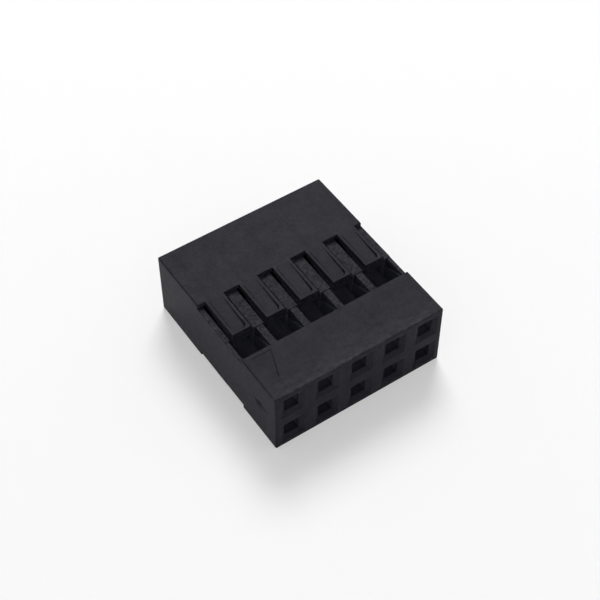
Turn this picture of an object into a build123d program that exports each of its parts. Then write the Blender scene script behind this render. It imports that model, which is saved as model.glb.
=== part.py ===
from build123d import *
import os

# Crimp connector housing with two rows of five positions, moulded in one piece.
# Millimetres, +Z up. The origin is the middle of the underside. The positions run along X,
# the mating face looks towards -Y and the wire entry face towards +Y.

# Grid of positions
pitch = 2.54              # between neighbouring positions, and between the two rows
positions = 5             # in each row
rows = 2                  # the upper one latches upwards and the lower one downwards

# Outer block
length = 13.8             # from the mating face to the wire entry face
edge_radius = 0.1         # rounding of the outer edges

# Stretches along the length, counted from the mating face
front_length = 3.75       # closed front band
window_length = 1.9       # open windows
tongue_length = 3.25      # latch tongues, which are rooted in the closed rear band

# Cavity behind each position
entry_wall = 0.5          # between neighbouring wire entries, and between windows
guide_wall = 0.74         # between neighbouring contact guides
front_web = 0.8           # wall that the pin holes pass through
taper_length = 0.4        # where the entry narrows to the guide
entry_bevel = 0.1         # bevel around each wire entry

# Pin hole in the mating face
pin_hole = 1.04           # side of the square hole
lead_in_depth = 0.2       # length of the funnel in front of it
lead_in_width = 0.38      # how far the funnel widens on each side

# Recess across both broad faces
recess_depth = 0.34       # below the broad face
wall_step = 0.04          # how much lower the walls are between the windows

# Wide part of a window, whose floor slopes down towards the tongue
window_front_depth = 0.4  # at its front edge, below the broad face
window_tip_depth = 1.1    # below the tip of the tongue

# Latch tongue
slot_width = 0.22         # gap on each side of the tongue
hook_depth = 0.45         # how far the tip reaches into the guide
hook_land = 0.4           # flat length at the tip

# Pocket in the outside of each tongue, measured at its floor
pocket_margin = 0.26      # from the side of the tongue
pocket_tip_gap = 0.2      # from the tip of the tongue
pocket_root_gap = 0.1     # from the root, where the floor comes level with the face
pocket_depth = 0.16       # at the end near the tip
pocket_lean = 20          # degrees that its walls lean outwards
pocket_radius = 0.27      # rounding of its two corners near the tip
pocket_radius_share = 0.45  # of its width, the largest rounding that fits

# Sunk triangle that marks the first position
mark_gap = 0.3            # from the windows to its base
mark_base = 1.4
mark_height = 2.0
mark_base_depth = 0.02
mark_point_depth = 0.08

# Shallow dish left by the gate, in the side beside the first position
gate_setback = 1.8        # from the mating face
gate_height = 2.75        # above the underside
gate_radius = 0.5
gate_depth = 0.08

# Cutting bodies reach this far past the faces that they open
overshoot = 1.0

width = positions * pitch
height = rows * pitch
row_z = height - pitch / 2
mating_y = -length / 2
wire_y = length / 2
window_y = mating_y + front_length
tip_y = window_y + window_length
root_y = tip_y + tongue_length
entry_size = pitch - entry_wall
guide_size = pitch - guide_wall
guide_roof_z = row_z + guide_size / 2
tongue_width = guide_size - 2 * slot_width
position_x = [(place - (positions - 1) / 2) * pitch for place in range(positions)]
open_top_z = height + overshoot


def block(size_x, y_range, z_range):
    """Box centred on x = 0 between two places along Y and two heights."""
    size_y = y_range[1] - y_range[0]
    size_z = z_range[1] - z_range[0]
    centre = (0, sum(y_range) / 2, sum(z_range) / 2)
    return Pos(*centre) * Box(size_x, size_y, size_z)


def square_hole(side, y_start, y_end):
    """Square bar along the axis of an upper position."""
    return block(side, (y_start, y_end), (row_z - side / 2, row_z + side / 2))


def funnel(side_start, y_start, side_end, y_end):
    """Square bar along the same axis that widens or narrows evenly."""
    ends = []
    for side, y in ((side_start, y_start), (side_end, y_end)):
        across = Plane(origin=(0, y, row_z), x_dir=(1, 0, 0), z_dir=(0, 1, 0))
        ends.append(across * Rectangle(side, side))
    return loft(ends)


def pin_opening():
    """Square hole for a header pin, with a funnel in front of it."""
    mouth = pin_hole + 2 * lead_in_width
    hole = square_hole(pin_hole, mating_y, mating_y + front_web)
    return hole + funnel(mouth, mating_y, pin_hole, mating_y + lead_in_depth)


def contact_cavity():
    """Wide wire entry that narrows to the guide of the crimped contact."""
    entry_y = root_y + taper_length
    guide = square_hole(guide_size, mating_y + front_web, root_y)
    taper = funnel(guide_size, root_y, entry_size, entry_y)
    entry = square_hole(entry_size, entry_y, wire_y)
    mouth = entry_size + 2 * entry_bevel
    return guide + taper + entry + funnel(entry_size, wire_y - entry_bevel, mouth, wire_y)


def latch_tongue():
    """Tongue flush with the broad face, with a ramp and a hook on its inside."""
    hook_z = guide_roof_z - hook_depth
    side_view = Plane.YZ * Polygon(
        (tip_y, hook_z),
        (tip_y + hook_land, hook_z),
        (root_y, guide_roof_z),
        (root_y, open_top_z),
        (tip_y, open_top_z),
        align=None,
    )
    return extrude(side_view, amount=tongue_width / 2, both=True)


def latch_opening():
    """Window in front of the tongue, and the gap around the tongue."""
    gap = block(guide_size, (window_y, root_y), (row_z, open_top_z))
    side_view = Plane.YZ * Polygon(
        (window_y, height - window_front_depth),
        (tip_y, height - window_tip_depth),
        (tip_y, open_top_z),
        (window_y, open_top_z),
        align=None,
    )
    return gap + extrude(side_view, amount=entry_size / 2, both=True)


def tongue_pocket():
    """Shallow pocket with leaning walls and a sloping floor in the outside of a tongue."""
    near_y = tip_y + pocket_tip_gap
    far_y = root_y - pocket_root_gap
    floor_z = height - pocket_depth
    pocket_width = tongue_width - 2 * pocket_margin
    corner = min(pocket_radius, pocket_radius_share * pocket_width)
    outline = Pos(0, (near_y + far_y) / 2) * Rectangle(pocket_width, far_y - near_y)
    outline = fillet(outline.vertices().sort_by(Axis.Y)[:2], corner)
    funnel_height = 2 * pocket_depth
    shaft = extrude(Pos(0, 0, floor_z) * outline, amount=funnel_height, taper=-pocket_lean)
    above_floor = Plane.YZ * Polygon(
        (tip_y, floor_z),
        (near_y, floor_z),
        (far_y, height),
        (far_y, open_top_z),
        (tip_y, open_top_z),
        align=None,
    )
    return shaft & extrude(above_floor, amount=tongue_width, both=True)


def cell_cut():
    """All that is taken away at one position of the upper row."""
    opening = pin_opening() + contact_cavity() + latch_opening()
    return opening - latch_tongue() + tongue_pocket()


def recess_cut():
    """Band taken away across the upper broad face, beside and between the tongues."""
    floor_z = height - recess_depth
    cut_width = width + overshoot
    window_band = block(cut_width, (window_y, tip_y), (floor_z - wall_step, open_top_z))
    tongue_band = block(cut_width, (tip_y, root_y), (floor_z, open_top_z))
    kept = block(tongue_width, (tip_y, root_y), (floor_z, open_top_z))
    return window_band + (tongue_band - [Pos(x, 0, 0) * kept for x in position_x])


def first_position_mark():
    """Sunk triangle that points to the mating face and is deepest at its point."""
    first_x = position_x[0]
    base_y = window_y - mark_gap
    point_y = base_y - mark_height
    outline = Polygon(
        (first_x - mark_base / 2, base_y),
        (first_x, point_y),
        (first_x + mark_base / 2, base_y),
        align=None,
    )
    side_view = Plane.YZ * Polygon(
        (point_y, height - mark_point_depth),
        (base_y, height - mark_base_depth),
        (base_y, open_top_z),
        (point_y, open_top_z),
        align=None,
    )
    prism = extrude(Pos(0, 0, row_z) * outline, amount=open_top_z - row_z)
    return prism & extrude(side_view, amount=width / 2, both=True)


def gate_dish():
    """Part of a ball that leaves a dish of the gate's radius and depth."""
    ball_radius = (gate_radius ** 2 + gate_depth ** 2) / (2 * gate_depth)
    ball_x = -width / 2 + gate_depth - ball_radius
    seam_outside = Rot(0, 0, 180)
    return Pos(ball_x, mating_y + gate_setback, gate_height) * seam_outside * Sphere(ball_radius)


def housing():
    body = Pos(0, 0, height / 2) * Box(width, length, height)
    body = fillet(body.edges(), edge_radius)
    cell = cell_cut()
    upper_cuts = [recess_cut()] + [Pos(x, 0, 0) * cell for x in position_x]
    middle = Plane.XY.offset(height / 2)
    lower_cuts = [mirror(cut, about=middle) for cut in upper_cuts]
    return body - upper_cuts - lower_cuts - first_position_mark() - gate_dish()


os.makedirs("parts", exist_ok=True)
export_step(housing(), "parts/housing.step")
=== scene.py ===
import math

import bpy
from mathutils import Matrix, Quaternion, Vector

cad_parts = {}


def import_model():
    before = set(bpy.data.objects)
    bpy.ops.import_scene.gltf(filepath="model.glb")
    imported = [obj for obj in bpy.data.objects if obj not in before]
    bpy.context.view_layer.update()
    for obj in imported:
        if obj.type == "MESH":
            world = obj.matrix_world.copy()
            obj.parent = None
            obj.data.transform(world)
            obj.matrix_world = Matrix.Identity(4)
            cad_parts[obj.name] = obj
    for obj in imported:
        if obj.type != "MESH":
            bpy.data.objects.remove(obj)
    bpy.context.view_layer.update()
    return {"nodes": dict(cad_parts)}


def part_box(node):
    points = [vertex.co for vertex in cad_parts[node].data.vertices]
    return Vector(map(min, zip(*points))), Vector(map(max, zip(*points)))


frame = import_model()

# Lengths are written in millimetres and turned into metres where Blender takes them.
MM = 0.001

low_corner, high_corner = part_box("housing")
width, _, height = [side / MM for side in high_corner - low_corner]
mating_y = low_corner.y / MM
middle_z = height / 2
pitch = height / 2

# Stretches of the housing along Y, counted from the mating face
front_length = 3.75
window_length = 1.9
tongue_length = 3.25
window_y = mating_y + front_length
tip_y = window_y + window_length
root_y = tip_y + tongue_length

# Depths below the nearer broad face, and half widths of the openings at each position
recess_depth = 0.34
guide_floor = 2.17
guide_half = 0.9
entry_half = 1.02

# Pocket in the outside of each tongue
pocket_half = 0.42
pocket_radius = 0.27
pocket_gap = 0.2
pocket_y = tip_y + pocket_gap

# Below, a ramp is (start, end) and a band is (start, end, softness), in millimetres unless a
# comment says otherwise. A noise is (cycles per millimetre, detail, roughness), and patches add
# the levels of the noise where they start and end. A shape stretches the noise along X, Y and Z.
# Gains, bases and strengths are shares of the way from the plastic's colour to another.

# Scuffed tops of the walls beside the tongues
scuff_depths = (recess_depth - 0.05, recess_depth + 0.08, 0.02)
scuff_stretch = (window_y, root_y, 0.02)
scuff_patches = (4.5, 3.0, 0.7, 0.4, 0.65)

# Painted light deep in the pin holes, lifting their shade
hole_stretch = (mating_y + 0.6, mating_y + 1.6, 0.4)
hole_depths = (0.4, 0.9)
hole_strength = 0.5

# Parts of the windows' insides, across one position and by depth
guide_edge = (guide_half + 0.01, guide_half)
entry_edge = (entry_half + 0.01, entry_half)
right_side = (0.8, 0.85)
all_but_left = (-0.85, -0.8)
wall_top = (recess_depth + 0.07, recess_depth + 0.1)
wall_foot = (guide_floor - 0.02, guide_floor - 0.05)

# Painted light on the right-hand walls of the windows, stronger towards the tongue and lower down
wall_stretch = (window_y + 0.05, tip_y + 0.05, 0.02)
wall_back = (window_y + 0.7, window_y + 1.7)
wall_back_gain = 0.12
wall_down = (0.6, 1.6)
wall_down_gain = 0.12
wall_guide_base = 0.06
wall_base = 0.11

# Painted light on the walls beside and under the tongues
under_stretch = (tip_y + 0.05, root_y, 0.03)
under_depths = (0.85, 1.0)
under_gain = 0.55
under_base = 0.45

# Painted light on the floors of the windows, stronger to the right and at the rear
floor_depths = (guide_floor - 0.05, guide_floor - 0.02)
floor_stretch = (window_y + 0.3, root_y, 0.2)
floor_base = 0.12
floor_right = (0.45, 0.8)
floor_right_gain = 0.33
floor_right_back = (window_y + 1.2, window_y + 2.8)
floor_right_base = 0.4
floor_left = (0.1, -0.1)
floor_left_gain = 0.04
floor_rear = (root_y - 1.0, root_y - 0.3)
floor_rear_gain = 0.12

# Painted light on the faces of the tips, the step behind the tongues and the gap right of each tongue
tip_stretch = (tip_y - 0.05, tip_y + 0.05, 0.02)
tip_start = (0.3, 1.3)
tip_end = (1.1, 1.0)
tip_strength = 0.32
step_stretch = (root_y - 0.02, root_y + 0.02, 0.02)
step_depths = (0.05, recess_depth, 0.02)
step_strength = 0.05
gap_side = (guide_half - 0.1, guide_half - 0.05)
gap_depths = (recess_depth - 0.04, recess_depth + 0.3, 0.03)
gap_strength = 0.95

# Painted shade: a dark line along the left wall and around the front end of each pocket
line_width = (pocket_radius - 0.01, pocket_radius + 0.07, 0.03)
line_stretch = (tip_y + 0.05, root_y - 0.2, 0.1)
line_depths = (0.2, 0.17)
line_left = (0.1, -0.1)
line_front = (pocket_y + 0.4, pocket_y + 0.2)

# Broad faces: scuffed rim and smudges, painted shadow in patches on the front band, and painted shade
# on the margins of the tongues
surface_depths = (0.1, 0.05)
rim_stretch = (mating_y + 0.45, mating_y + 0.15)
rim_patches = (2.5, 3.0, 0.7, 0.4, 0.65)
smudge_stretch = (mating_y + 2.2, mating_y + 0.3)
smudge_shape = (0.6, 1.4, 1.0)
smudge_patches = (1.6, 4.0, 0.7, 0.45, 0.65)
smudge_strength = 0.5
shadow_stretch = (mating_y + 0.9, window_y - 0.3, 0.3)
shadow_shape = (0.5, 0.9, 1.0)
shadow_patches = (0.9, 2.0, 0.5, 0.3, 0.6)
shadow_strength = 0.27
margin_side = (-pocket_half, -pocket_half - 0.05)
margin_stretch = (tip_y, root_y - 0.5, 0.3)

# Mating face, with a painted contact shadow as a dark line at its foot, and the two sides
face_stretch = (mating_y + 0.05, mating_y + 0.01)
face_shape = (1.3, 1.0, 0.5)
face_patches = (1.1, 3.0, 0.6, 0.35, 0.65)
face_strength = 0.4
foot_shadow_heights = (0.3, 0.2)
foot_shadow_stretch = (mating_y + 0.12, mating_y + 0.06)
# Painted tint of the light on the two side faces
side_reach = (0.495 * width, 0.499 * width)
side_strength = 0.5

# Faint flow lines of the mould over the cavities
flow_shift = -0.25
flow_band = (-0.15, 0.15, 0.12)
flow_shape = (1.6, 0.25, 1.0)
flow_patches = (1.0, 2.0, 0.5, 0.4, 0.6)
flow_depths = (0.02, 0.0)
flow_strength = 0.35

# Torn spot of the gate, longer along the housing than it is high. Its edge is a ramp over the
# distance from its middle, where 1 is its outline, and the noise tears that outline.
gate_y = mating_y + 1.65
gate_z = 2.7
gate_length = 1.5
gate_width = 0.5
gate_noise = (5.0, 2.0, 0.5)
gate_noise_middle = 0.5
gate_edge = (1.2, 0.4)
gate_side = (-0.48 * width, -0.49 * width)
gate_strength = 0.75

# Clouds and grain of the whole moulding, where cloud_range is a ramp over the noise
cloud_noise = (0.7, 3.0, 0.6)
cloud_share = 0.45
speckle_noise = (6.0, 3.0, 0.6)
speckle_share = 0.55
cloud_range = (0.3, 0.7)
gloss_patches = (2.2, 3.0, 0.6, 0.3, 0.7)
base_roughness = 0.42
gloss_roughness = 0.08
torn_roughness = 0.12
grain_noise = (12.0, 3.0, 0.6)
grain_height = 0.008
torn_noise = (6.0, 2.0, 0.6)
torn_height = 0.06
plastic_ior = 1.5
plastic_specular = 0.04

# Softness of every inner edge
inner_radius = 0.07
inner_samples = 6

# Colours of the plastic
black_low = (0.0122, 0.012, 0.0178, 1.0)
black_high = (0.0278, 0.0272, 0.0352, 1.0)
black_scuffed = (0.045, 0.045, 0.053, 1.0)
# Painted light: a lighter grey that lifts the shade of the insides
painted_light_inside = (0.2, 0.21, 0.285, 1.0)
# Dark colour of the flow lines, the mating face's blotches and the gate, also used as painted shade on
# the front band and the tongues' margins
black_marks_and_shade = (0.0095, 0.0094, 0.0135, 1.0)
# Painted tint of the light on the two side faces
side_light_tint = (0.0215, 0.0195, 0.0285, 1.0)
# Painted shade for the pocket lines and for the contact shadow at the foot of the mating face
black_shade_line = (0.0055, 0.0056, 0.0085, 1.0)
white = (1.0, 1.0, 1.0, 1.0)

# Camera
lens = 83.42
sensor = 36.0
camera_azimuth = -34.172
camera_elevation = 50.671
camera_roll = 0.043
camera_distance = 90.992
camera_aim = (0.456, 0.487, 2.54)
camera_near = 1.0
camera_far = 2000.0

# Studio, with the paper's noise in cycles per metre
paper_low = (0.965, 0.965, 0.965, 1.0)
paper_high = (0.97, 0.97, 0.97, 1.0)
paper_noise = (4.0, 2.0, 0.5)
floor_glow = 0.4
floor_radius = 330.0
floor_segments = 96
wall_radius = 60.0
wall_height = 60.0
wall_steps = 12
fill_level = 0.36
key_radiance = 11.5
key_size = 240.0
key_distance = 520.0
key_azimuth = 146.5
key_elevation = 50.6


def direction(azimuth, elevation):
    """Unit vector from the object to a place at this azimuth and elevation, in degrees."""
    a = math.radians(azimuth)
    e = math.radians(elevation)
    return Vector((math.sin(a) * math.cos(e), -math.cos(a) * math.cos(e), math.sin(e)))


def turned_object(name, data, place, turn):
    """New object in the scene with this turn, at a place given in millimetres."""
    piece = bpy.data.objects.new(name, data)
    bpy.context.scene.collection.objects.link(piece)
    piece.location = place * MM
    piece.rotation_mode = "QUATERNION"
    piece.rotation_quaternion = turn
    return piece


class Nodes:
    """Short forms for the nodes of one material."""

    def __init__(self, name):
        self.material = bpy.data.materials.new(name)
        self.material.use_nodes = True
        self.tree = self.material.node_tree
        self.tree.nodes.clear()

    def add(self, kind, inputs=None, **settings):
        node = self.tree.nodes.new(kind)
        for name, value in settings.items():
            setattr(node, name, value)
        for name, value in (inputs or {}).items():
            self.put(node, name, value)
        return node

    def put(self, node, name, value):
        if isinstance(value, bpy.types.NodeSocket):
            self.tree.links.new(value, node.inputs[name])
        else:
            node.inputs[name].default_value = value

    def math(self, operation, *values):
        node = self.add("ShaderNodeMath", operation=operation)
        for place, value in enumerate(values):
            self.put(node, place, value)
        return node.outputs["Value"]

    def chain(self, operation, values):
        """One operation over any number of values, from the first to the last."""
        result = values[0]
        for value in values[1:]:
            result = self.math(operation, result, value)
        return result

    def product(self, *values):
        return self.chain("MULTIPLY", values)

    def total(self, *values):
        return self.chain("ADD", values)

    def largest(self, *values):
        return self.chain("MAXIMUM", values)

    def root_of_squares(self, first, second):
        squares = [self.math("POWER", value, 2.0) for value in (first, second)]
        return self.math("SQRT", self.total(*squares))

    def ramp(self, value, start, end):
        """0 at the start, 1 at the end and even in between; the start may lie above the end."""
        ends = {"Value": value, "From Min": start, "From Max": end}
        return self.add("ShaderNodeMapRange", ends).outputs["Result"]

    def band(self, value, start, end, soft):
        """1 between two places and 0 outside them, with soft ends."""
        rise = self.ramp(value, start - soft, start + soft)
        fall = self.ramp(value, end + soft, end - soft)
        return self.product(rise, fall)

    def stretch(self, vector, scale):
        return self.add("ShaderNodeMapping", {"Vector": vector, "Scale": scale}).outputs["Vector"]

    def noise(self, vector, scale, detail, roughness):
        inputs = {"Vector": vector, "Scale": scale, "Detail": detail, "Roughness": roughness}
        return self.add("ShaderNodeTexNoise", inputs).outputs["Fac"]

    def patches(self, vector, scale, detail, roughness, start, end):
        """Patches of noise, from 0 at its start level to 1 at its end level."""
        return self.ramp(self.noise(vector, scale, detail, roughness), start, end)

    def mix(self, factor, first, second):
        """Colour between two others, which are colours or sockets."""
        node = self.add("ShaderNodeMix", {"Factor": factor}, data_type="RGBA")
        self.put(node, 6, first)
        self.put(node, 7, second)
        return node.outputs[2]

    def bump(self, height, distance, normal):
        inputs = {"Height": height, "Distance": distance, "Strength": 1.0, "Normal": normal}
        return self.add("ShaderNodeBump", inputs).outputs["Normal"]

    def finish(self, shader, output):
        self.add("ShaderNodeOutputMaterial", {"Surface": shader.outputs[output]})
        return self.material


class Plastic(Nodes):
    """Black satin moulding with a fine sand texture, and rougher in the recesses and at the gate."""

    def __init__(self, name):
        super().__init__(name)
        place = self.add("ShaderNodeTexCoord").outputs["Object"]
        self.grid = self.stretch(place, [1 / MM] * 3)
        axes = self.add("ShaderNodeSeparateXYZ", {"Vector": self.grid})
        self.x, self.y, self.z = [axes.outputs[axis] for axis in "XYZ"]
        from_middle = self.math("ABSOLUTE", self.math("SUBTRACT", self.z, middle_z))
        self.depth = self.math("SUBTRACT", middle_z, from_middle)
        self.across = self.cell_place(0.0)
        self.from_cell = self.math("ABSOLUTE", self.across)
        self.in_guide = self.ramp(self.from_cell, *guide_edge)
        self.on_surface = self.ramp(self.depth, *surface_depths)
        recess = self.band(self.depth, *scuff_depths)
        self.recess = self.product(recess, self.band(self.y, *scuff_stretch))
        self.gate = self.gate_spot()

    def cell_place(self, shift):
        """Place across one position of the row, counted from its middle plus the shift."""
        moved = self.math("ADD", self.x, 0.5 * pitch - shift)
        return self.math("SUBTRACT", self.math("FLOORED_MODULO", moved, pitch), 0.5 * pitch)

    def gate_spot(self):
        along = self.math("DIVIDE", self.math("SUBTRACT", self.y, gate_y), gate_length / 2)
        upward = self.math("DIVIDE", self.math("SUBTRACT", self.z, gate_z), gate_width / 2)
        tear = self.math("SUBTRACT", self.noise(self.grid, *gate_noise), gate_noise_middle)
        spot = self.total(self.root_of_squares(along, upward), tear)
        return self.product(self.ramp(spot, *gate_edge), self.ramp(self.x, *gate_side))

    def window_wall_light(self):
        """Painted light on the right-hand walls of the windows, and on the walls beside and under the
        tongues.
        """
        above_floor = self.product(self.ramp(self.depth, *wall_top), self.ramp(self.depth, *wall_foot))
        open_part = self.product(self.band(self.y, *wall_stretch), self.ramp(self.across, *right_side))
        towards_tongue = self.product(self.ramp(self.y, *wall_back), wall_back_gain)
        down = self.ramp(self.depth, *wall_down)
        lower_down = self.math("MULTIPLY_ADD", down, wall_down_gain, wall_guide_base)
        guide_level = self.total(towards_tongue, lower_down)
        wall_level = self.math("MULTIPLY_ADD", self.in_guide, guide_level, wall_base)
        in_window = self.ramp(self.from_cell, *entry_edge)
        wall = self.product(open_part, above_floor, in_window, wall_level)
        deep = self.ramp(self.depth, *under_depths)
        under_level = self.math("MULTIPLY_ADD", deep, under_gain, under_base)
        under = self.product(self.beside_tongue(), above_floor, self.in_guide, under_level)
        return wall, under

    def window_floor_light(self):
        """Painted light on the floors of the windows and of what is seen through them."""
        further_back = self.math("ADD", self.ramp(self.y, *floor_right_back), floor_right_base)
        right = self.product(self.ramp(self.across, *floor_right), floor_right_gain, further_back)
        left = self.product(self.ramp(self.across, *floor_left), floor_left_gain)
        rear = self.product(self.ramp(self.y, *floor_rear), floor_rear_gain)
        level = self.total(right, left, rear, floor_base)
        place = self.product(self.ramp(self.depth, *floor_depths), self.in_guide)
        return self.product(place, self.band(self.y, *floor_stretch), level)

    def beside_tongue(self):
        """Stretch of the tongues, without the left-hand walls, which only show from behind."""
        stretch = self.band(self.y, *under_stretch)
        return self.product(stretch, self.ramp(self.across, *all_but_left))

    # Painted light on the faces of the tips
    def tip_face_light(self):
        depths = self.product(self.ramp(self.depth, *tip_start), self.ramp(self.depth, *tip_end))
        return self.product(self.band(self.y, *tip_stretch), self.in_guide, depths, tip_strength)

    # Painted light on the step behind the tongues
    def rear_step_light(self):
        stretch = self.band(self.y, *step_stretch)
        return self.product(stretch, self.band(self.depth, *step_depths), step_strength)

    # Painted light in the gap right of each tongue
    def side_gap_light(self):
        place = self.product(self.beside_tongue(), self.ramp(self.across, *gap_side))
        return self.product(place, self.band(self.depth, *gap_depths), self.in_guide, gap_strength)

    # Painted light deep in the pin holes
    def pin_hole_light(self):
        place = self.product(self.ramp(self.depth, *hole_depths), self.in_guide)
        return self.product(self.band(self.y, *hole_stretch), place, hole_strength)

    def painted_light_insides(self):
        """Painted light on all that lies inside, where the studio light hardly reaches: a lighter
        colour that lifts the shade.
        """
        return self.largest(self.pin_hole_light(), self.side_gap_light(), *self.window_wall_light(),
                            self.window_floor_light(), self.tip_face_light(), self.rear_step_light())

    # Painted shade along the left wall and around the front end of each pocket
    def pocket_shade_line(self):
        sideways = self.math("SUBTRACT", self.from_cell, pocket_half - pocket_radius)
        forward = self.math("SUBTRACT", pocket_y + pocket_radius, self.y)
        outline = self.root_of_squares(self.largest(sideways, 0.0), self.largest(forward, 0.0))
        shown = self.largest(self.ramp(self.across, *line_left), self.ramp(self.y, *line_front))
        return self.product(self.band(outline, *line_width), self.band(self.y, *line_stretch),
                            self.ramp(self.depth, *line_depths), shown)

    def scuffed_rim(self):
        """Scuffs along the edge of the mating face, and smudges behind it."""
        rim = self.product(self.ramp(self.y, *rim_stretch), self.patches(self.grid, *rim_patches))
        smudges = self.patches(self.stretch(self.grid, smudge_shape), *smudge_patches)
        smudge = self.product(self.ramp(self.y, *smudge_stretch), smudges, smudge_strength)
        return self.product(self.largest(rim, smudge), self.on_surface)

    def painted_shade_places(self):
        """Painted shadow in patches on the front band, and painted shade on the margins left of the
        pockets.
        """
        patches = self.patches(self.stretch(self.grid, shadow_shape), *shadow_patches)
        front = self.product(self.band(self.y, *shadow_stretch), patches)
        margin = self.product(self.ramp(self.across, *margin_side), self.band(self.y, *margin_stretch))
        return self.product(self.largest(front, margin), self.on_surface, shadow_strength)

    def mating_face(self):
        blotches = self.patches(self.stretch(self.grid, face_shape), *face_patches)
        return self.product(self.ramp(self.y, *face_stretch), blotches, face_strength)

    def flow_lines(self):
        line = self.band(self.cell_place(flow_shift), *flow_band)
        broken = self.patches(self.stretch(self.grid, flow_shape), *flow_patches)
        return self.product(line, broken, self.ramp(self.depth, *flow_depths), flow_strength)

    def colour(self):
        clouds = self.product(self.noise(self.grid, *cloud_noise), cloud_share)
        speckles = self.product(self.noise(self.grid, *speckle_noise), speckle_share)
        mottled = self.ramp(self.total(clouds, speckles), *cloud_range)
        scuffs = self.product(self.patches(self.grid, *scuff_patches), self.recess)
        # Painted tint of the light on the two side faces
        side = self.ramp(self.math("ABSOLUTE", self.x), *side_reach)
        # Painted contact shadow: a dark line along the foot of the mating face
        foot_shadow = self.product(self.ramp(self.z, *foot_shadow_heights), self.ramp(self.y, *foot_shadow_stretch))
        colour = self.mix(mottled, black_low, black_high)
        for factor, shade in (
            (scuffs, black_scuffed),
            (self.flow_lines(), black_marks_and_shade),
            (self.mating_face(), black_marks_and_shade),
            (self.painted_shade_places(), black_marks_and_shade),
            (self.product(side, side_strength), side_light_tint),
            (self.pocket_shade_line(), black_shade_line),
            # Painted light on the insides
            (self.painted_light_insides(), painted_light_inside),
            (self.product(self.gate, gate_strength), black_marks_and_shade),
            (self.scuffed_rim(), black_scuffed),
            (foot_shadow, black_shade_line),
        ):
            colour = self.mix(factor, colour, shade)
        return colour

    def roughness(self, torn):
        gloss = self.product(self.patches(self.grid, *gloss_patches), gloss_roughness)
        return self.total(base_roughness, gloss, self.product(torn, torn_roughness))

    def relief(self, torn):
        """Softened inner edges, fine grain, and a coarser relief where the plastic is torn."""
        bevel = self.add("ShaderNodeBevel", {"Radius": inner_radius * MM}, samples=inner_samples)
        grain = self.noise(self.grid, *grain_noise)
        normal = self.bump(grain, grain_height * MM, bevel.outputs["Normal"])
        coarse = self.product(self.noise(self.grid, *torn_noise), torn)
        return self.bump(coarse, torn_height * MM, normal)

    def made(self):
        torn = self.largest(self.recess, self.gate)
        shader = self.add("ShaderNodeBsdfPrincipled", {
            "Base Color": self.colour(),
            "Roughness": self.roughness(torn),
            "IOR": plastic_ior,
            "Specular IOR Level": plastic_specular,
            "Normal": self.relief(torn),
        })
        return self.finish(shader, "BSDF")


def paper():
    """Pale paper whose glow only the camera and reflections see, so that shadows stay on it."""
    n = Nodes("floor_paper")
    grid = n.add("ShaderNodeTexCoord").outputs["Object"]
    colour = n.mix(n.noise(grid, *paper_noise), paper_low, paper_high)
    diffuse = n.add("ShaderNodeBsdfDiffuse", {"Color": colour})
    glow = n.add("ShaderNodeEmission", {"Color": white, "Strength": 1.0})
    path = n.add("ShaderNodeLightPath")
    rays = ("Is Glossy Ray", "Is Transmission Ray", "Is Camera Ray")
    seen = n.largest(*[path.outputs[ray] for ray in rays])
    shader = n.add("ShaderNodeMixShader", {"Fac": n.product(seen, floor_glow)})
    n.put(shader, 1, diffuse.outputs["BSDF"])
    n.put(shader, 2, glow.outputs["Emission"])
    return n.finish(shader, "Shader")


def floor():
    """Round floor that curves up into a low wall."""
    flat_radius = floor_radius - wall_radius
    rings = [(flat_radius, 0.0)]
    for step in range(1, wall_steps + 1):
        turn = math.pi / 2 * step / wall_steps
        out = flat_radius + wall_radius * math.sin(turn)
        rings.append((out, wall_radius * (1 - math.cos(turn))))
    rings.append((floor_radius, wall_radius + wall_height))
    points = [(0.0, 0.0, 0.0)]
    for radius, up in rings:
        for segment in range(floor_segments):
            a = 2 * math.pi * segment / floor_segments
            points.append((radius * math.cos(a) * MM, radius * math.sin(a) * MM, up * MM))
    faces = [(0, 1 + s, 1 + (s + 1) % floor_segments) for s in range(floor_segments)]
    for ring in range(len(rings) - 1):
        start = 1 + ring * floor_segments
        above = start + floor_segments
        for s in range(floor_segments):
            t = (s + 1) % floor_segments
            faces.append((start + s, above + s, above + t, start + t))
    mesh = bpy.data.meshes.new("floor")
    mesh.from_pydata(points, [], faces)
    mesh.shade_smooth()
    mesh.materials.append(paper())
    piece = bpy.data.objects.new("floor", mesh)
    bpy.context.scene.collection.objects.link(piece)


def lamp(name, azimuth, elevation, distance, size, radiance):
    """Square soft box that looks at the object with an even radiance."""
    data = bpy.data.lights.new(name, "AREA")
    data.shape = "SQUARE"
    data.size = size * MM
    data.energy = radiance * math.pi * (size * MM) ** 2
    towards = direction(azimuth, elevation)
    turned_object(name, data, towards * distance, towards.to_track_quat("Z", "Y"))


def world():
    """Even white light from all around the stage."""
    room = bpy.data.worlds.new("room")
    room.use_nodes = True
    background = room.node_tree.nodes["Background"]
    background.inputs["Color"].default_value = white
    background.inputs["Strength"].default_value = fill_level
    bpy.context.scene.world = room


def camera():
    """Camera at the photograph's viewing angle."""
    data = bpy.data.cameras.new("camera")
    data.lens = lens
    data.sensor_width = sensor
    data.sensor_fit = "HORIZONTAL"
    data.clip_start = camera_near * MM
    data.clip_end = camera_far * MM
    back = direction(camera_azimuth, camera_elevation)
    roll = Quaternion((0.0, 0.0, 1.0), math.radians(camera_roll))
    turn = (-back).to_track_quat("-Z", "Y") @ roll
    piece = turned_object("camera", data, Vector(camera_aim) + back * camera_distance, turn)
    bpy.context.scene.camera = piece


housing = frame["nodes"]["housing"]
housing.data.materials.clear()
housing.data.materials.append(Plastic("housing_plastic").made())
floor()
world()
lamp("key", key_azimuth, key_elevation, key_distance, key_size, key_radiance)
camera()
bpy.context.scene.view_settings.view_transform = "Standard"
